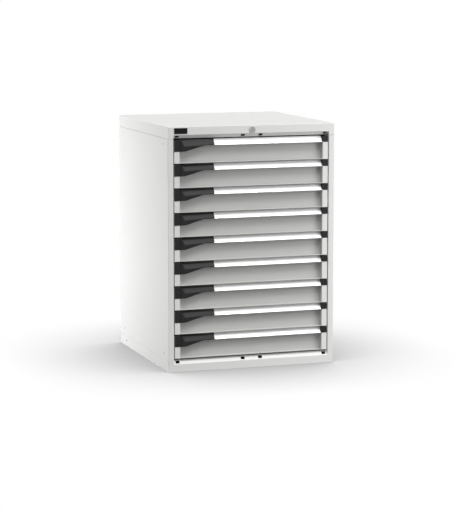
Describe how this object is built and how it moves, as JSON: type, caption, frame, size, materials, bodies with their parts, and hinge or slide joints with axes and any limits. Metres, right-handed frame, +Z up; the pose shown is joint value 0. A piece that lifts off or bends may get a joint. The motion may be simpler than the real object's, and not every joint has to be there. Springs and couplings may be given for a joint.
{
  "type": "drawer cabinet",
  "caption": "Floor-standing steel cabinet with full-width drawers on telescopic runners, each with a label handle and pull latch, and one lock in the top rail.",
  "frame": {"origin": "on the floor, under the middle of the outer box", "axes": "+Z up along the height, -Y out of the drawer fronts, +X to the right seen from the front"},
  "size_m": [0.717, 0.725, 1],
  "materials": {
    "housing_paint": "light grey powder coat, fine texture",
    "drawer_paint": "light grey powder coat, satin",
    "handle_metal": "clear anodised, satin",
    "black_plastic": "moulded, fine grain",
    "lock_metal": "nickel plated, satin",
    "runner_steel": "zinc plated",
    "label_card": "white card under a clear strip",
    "plug_plastic": "moulded, satin"
  },
  "bodies": {
    "cabinet": {"left_side": "housing_paint", "right_side": "housing_paint", "back_panel": "housing_paint", "base": "housing_paint", "top_cover": "housing_paint", "left_uprights": "runner_steel", "right_uprights": "runner_steel", "left_rails": "runner_steel", "right_rails": "runner_steel", "lock_body": "lock_metal", "badge_plate": "black_plastic"},
    "lock_plug": {"lock_plug": "lock_metal"},
    "lock_slider": {"lock_slider": "runner_steel"},
    "lock_bar": {"lock_bar": "runner_steel"},
    "drawer_1": {"drawer_1_tray": "drawer_paint", "drawer_1_handle": "handle_metal", "drawer_1_end_caps": "black_plastic"},
    "latch_1": {"drawer_1_latch": "black_plastic"},
    "runner_1": {"drawer_1_runners": "runner_steel"},
    "drawer_2": {"drawer_2_tray": "drawer_paint", "drawer_2_handle": "handle_metal", "drawer_2_end_caps": "black_plastic"},
    "latch_2": {"drawer_2_latch": "black_plastic"},
    "runner_2": {"drawer_2_runners": "runner_steel"},
    "drawer_3": {"drawer_3_tray": "drawer_paint", "drawer_3_handle": "handle_metal", "drawer_3_end_caps": "black_plastic"},
    "latch_3": {"drawer_3_latch": "black_plastic"},
    "runner_3": {"drawer_3_runners": "runner_steel"},
    "drawer_4": {"drawer_4_tray": "drawer_paint", "drawer_4_handle": "handle_metal", "drawer_4_end_caps": "black_plastic"},
    "latch_4": {"drawer_4_latch": "black_plastic"},
    "runner_4": {"drawer_4_runners": "runner_steel"},
    "drawer_5": {"drawer_5_tray": "drawer_paint", "drawer_5_handle": "handle_metal", "drawer_5_end_caps": "black_plastic"},
    "latch_5": {"drawer_5_latch": "black_plastic"},
    "runner_5": {"drawer_5_runners": "runner_steel"},
    "drawer_6": {"drawer_6_tray": "drawer_paint", "drawer_6_handle": "handle_metal", "drawer_6_end_caps": "black_plastic"},
    "latch_6": {"drawer_6_latch": "black_plastic"},
    "runner_6": {"drawer_6_runners": "runner_steel"},
    "drawer_7": {"drawer_7_tray": "drawer_paint", "drawer_7_handle": "handle_metal", "drawer_7_end_caps": "black_plastic"},
    "latch_7": {"drawer_7_latch": "black_plastic"},
    "runner_7": {"drawer_7_runners": "runner_steel"},
    "drawer_8": {"drawer_8_tray": "drawer_paint", "drawer_8_handle": "handle_metal", "drawer_8_end_caps": "black_plastic"},
    "latch_8": {"drawer_8_latch": "black_plastic"},
    "runner_8": {"drawer_8_runners": "runner_steel"},
    "drawer_9": {"drawer_9_tray": "drawer_paint", "drawer_9_handle": "handle_metal", "drawer_9_end_caps": "black_plastic"},
    "latch_9": {"drawer_9_latch": "black_plastic"},
    "runner_9": {"drawer_9_runners": "runner_steel"}
  },
  "joints": [
    {"name": "lock_turn", "type": "hinge", "parent": "cabinet", "child": "lock_plug", "pos_m": [0, -0.3595, 0.9815], "axis": [0, -1, 0], "range_deg": [0, 90]},
    {"name": "lock_slider_shift", "type": "slide", "parent": "cabinet", "child": "lock_slider", "axis": [1, 0, 0], "range_m": [0, 0.01273]},
    {"name": "lock_bar_lift", "type": "slide", "parent": "cabinet", "child": "lock_bar", "axis": [0, 0, 1], "range_m": [0, 0.012]},
    {"name": "drawer_1_slide", "type": "slide", "parent": "cabinet", "child": "drawer_1", "axis": [0, -1, 0], "range_m": [0, 0.6]},
    {"name": "runner_1_slide", "type": "slide", "parent": "cabinet", "child": "runner_1", "axis": [0, -1, 0], "range_m": [0, 0.3]},
    {"name": "latch_1_pull", "type": "hinge", "parent": "drawer_1", "child": "latch_1", "pos_m": [-0.235, -0.3435, 0.9403], "axis": [-1, 0, 0], "range_deg": [0, 12], "stiffness_Nm_per_rad": 0.8, "springref_deg": -11.46},
    {"name": "drawer_2_slide", "type": "slide", "parent": "cabinet", "child": "drawer_2", "axis": [0, -1, 0], "range_m": [0, 0.6]},
    {"name": "runner_2_slide", "type": "slide", "parent": "cabinet", "child": "runner_2", "axis": [0, -1, 0], "range_m": [0, 0.3]},
    {"name": "latch_2_pull", "type": "hinge", "parent": "drawer_2", "child": "latch_2", "pos_m": [-0.235, -0.3435, 0.84077], "axis": [-1, 0, 0], "range_deg": [0, 12], "stiffness_Nm_per_rad": 0.8, "springref_deg": -11.46},
    {"name": "drawer_3_slide", "type": "slide", "parent": "cabinet", "child": "drawer_3", "axis": [0, -1, 0], "range_m": [0, 0.6]},
    {"name": "runner_3_slide", "type": "slide", "parent": "cabinet", "child": "runner_3", "axis": [0, -1, 0], "range_m": [0, 0.3]},
    {"name": "latch_3_pull", "type": "hinge", "parent": "drawer_3", "child": "latch_3", "pos_m": [-0.235, -0.3435, 0.74123], "axis": [-1, 0, 0], "range_deg": [0, 12], "stiffness_Nm_per_rad": 0.8, "springref_deg": -11.46},
    {"name": "drawer_4_slide", "type": "slide", "parent": "cabinet", "child": "drawer_4", "axis": [0, -1, 0], "range_m": [0, 0.6]},
    {"name": "runner_4_slide", "type": "slide", "parent": "cabinet", "child": "runner_4", "axis": [0, -1, 0], "range_m": [0, 0.3]},
    {"name": "latch_4_pull", "type": "hinge", "parent": "drawer_4", "child": "latch_4", "pos_m": [-0.235, -0.3435, 0.6417], "axis": [-1, 0, 0], "range_deg": [0, 12], "stiffness_Nm_per_rad": 0.8, "springref_deg": -11.46},
    {"name": "drawer_5_slide", "type": "slide", "parent": "cabinet", "child": "drawer_5", "axis": [0, -1, 0], "range_m": [0, 0.6]},
    {"name": "runner_5_slide", "type": "slide", "parent": "cabinet", "child": "runner_5", "axis": [0, -1, 0], "range_m": [0, 0.3]},
    {"name": "latch_5_pull", "type": "hinge", "parent": "drawer_5", "child": "latch_5", "pos_m": [-0.235, -0.3435, 0.54217], "axis": [-1, 0, 0], "range_deg": [0, 12], "stiffness_Nm_per_rad": 0.8, "springref_deg": -11.46},
    {"name": "drawer_6_slide", "type": "slide", "parent": "cabinet", "child": "drawer_6", "axis": [0, -1, 0], "range_m": [0, 0.6]},
    {"name": "runner_6_slide", "type": "slide", "parent": "cabinet", "child": "runner_6", "axis": [0, -1, 0], "range_m": [0, 0.3]},
    {"name": "latch_6_pull", "type": "hinge", "parent": "drawer_6", "child": "latch_6", "pos_m": [-0.235, -0.3435, 0.44263], "axis": [-1, 0, 0], "range_deg": [0, 12], "stiffness_Nm_per_rad": 0.8, "springref_deg": -11.46},
    {"name": "drawer_7_slide", "type": "slide", "parent": "cabinet", "child": "drawer_7", "axis": [0, -1, 0], "range_m": [0, 0.6]},
    {"name": "runner_7_slide", "type": "slide", "parent": "cabinet", "child": "runner_7", "axis": [0, -1, 0], "range_m": [0, 0.3]},
    {"name": "latch_7_pull", "type": "hinge", "parent": "drawer_7", "child": "latch_7", "pos_m": [-0.235, -0.3435, 0.3431], "axis": [-1, 0, 0], "range_deg": [0, 12], "stiffness_Nm_per_rad": 0.8, "springref_deg": -11.46},
    {"name": "drawer_8_slide", "type": "slide", "parent": "cabinet", "child": "drawer_8", "axis": [0, -1, 0], "range_m": [0, 0.6]},
    {"name": "runner_8_slide", "type": "slide", "parent": "cabinet", "child": "runner_8", "axis": [0, -1, 0], "range_m": [0, 0.3]},
    {"name": "latch_8_pull", "type": "hinge", "parent": "drawer_8", "child": "latch_8", "pos_m": [-0.235, -0.3435, 0.24357], "axis": [-1, 0, 0], "range_deg": [0, 12], "stiffness_Nm_per_rad": 0.8, "springref_deg": -11.46},
    {"name": "drawer_9_slide", "type": "slide", "parent": "cabinet", "child": "drawer_9", "axis": [0, -1, 0], "range_m": [0, 0.6]},
    {"name": "runner_9_slide", "type": "slide", "parent": "cabinet", "child": "runner_9", "axis": [0, -1, 0], "range_m": [0, 0.3]},
    {"name": "latch_9_pull", "type": "hinge", "parent": "drawer_9", "child": "latch_9", "pos_m": [-0.235, -0.3435, 0.14403], "axis": [-1, 0, 0], "range_deg": [0, 12], "stiffness_Nm_per_rad": 0.8, "springref_deg": -11.46}
  ],
  "couplings": [
    {"joint": "lock_turn", "follows": "lock_bar_lift", "rad_per_m": 130.9},
    {"joint": "lock_slider_shift", "follows": "lock_bar_lift", "ratio": 1.0607},
    {"joint": "runner_1_slide", "follows": "drawer_1_slide", "ratio": 0.5},
    {"joint": "runner_2_slide", "follows": "drawer_2_slide", "ratio": 0.5},
    {"joint": "runner_3_slide", "follows": "drawer_3_slide", "ratio": 0.5},
    {"joint": "runner_4_slide", "follows": "drawer_4_slide", "ratio": 0.5},
    {"joint": "runner_5_slide", "follows": "drawer_5_slide", "ratio": 0.5},
    {"joint": "runner_6_slide", "follows": "drawer_6_slide", "ratio": 0.5},
    {"joint": "runner_7_slide", "follows": "drawer_7_slide", "ratio": 0.5},
    {"joint": "runner_8_slide", "follows": "drawer_8_slide", "ratio": 0.5},
    {"joint": "runner_9_slide", "follows": "drawer_9_slide", "ratio": 0.5}
  ]
}
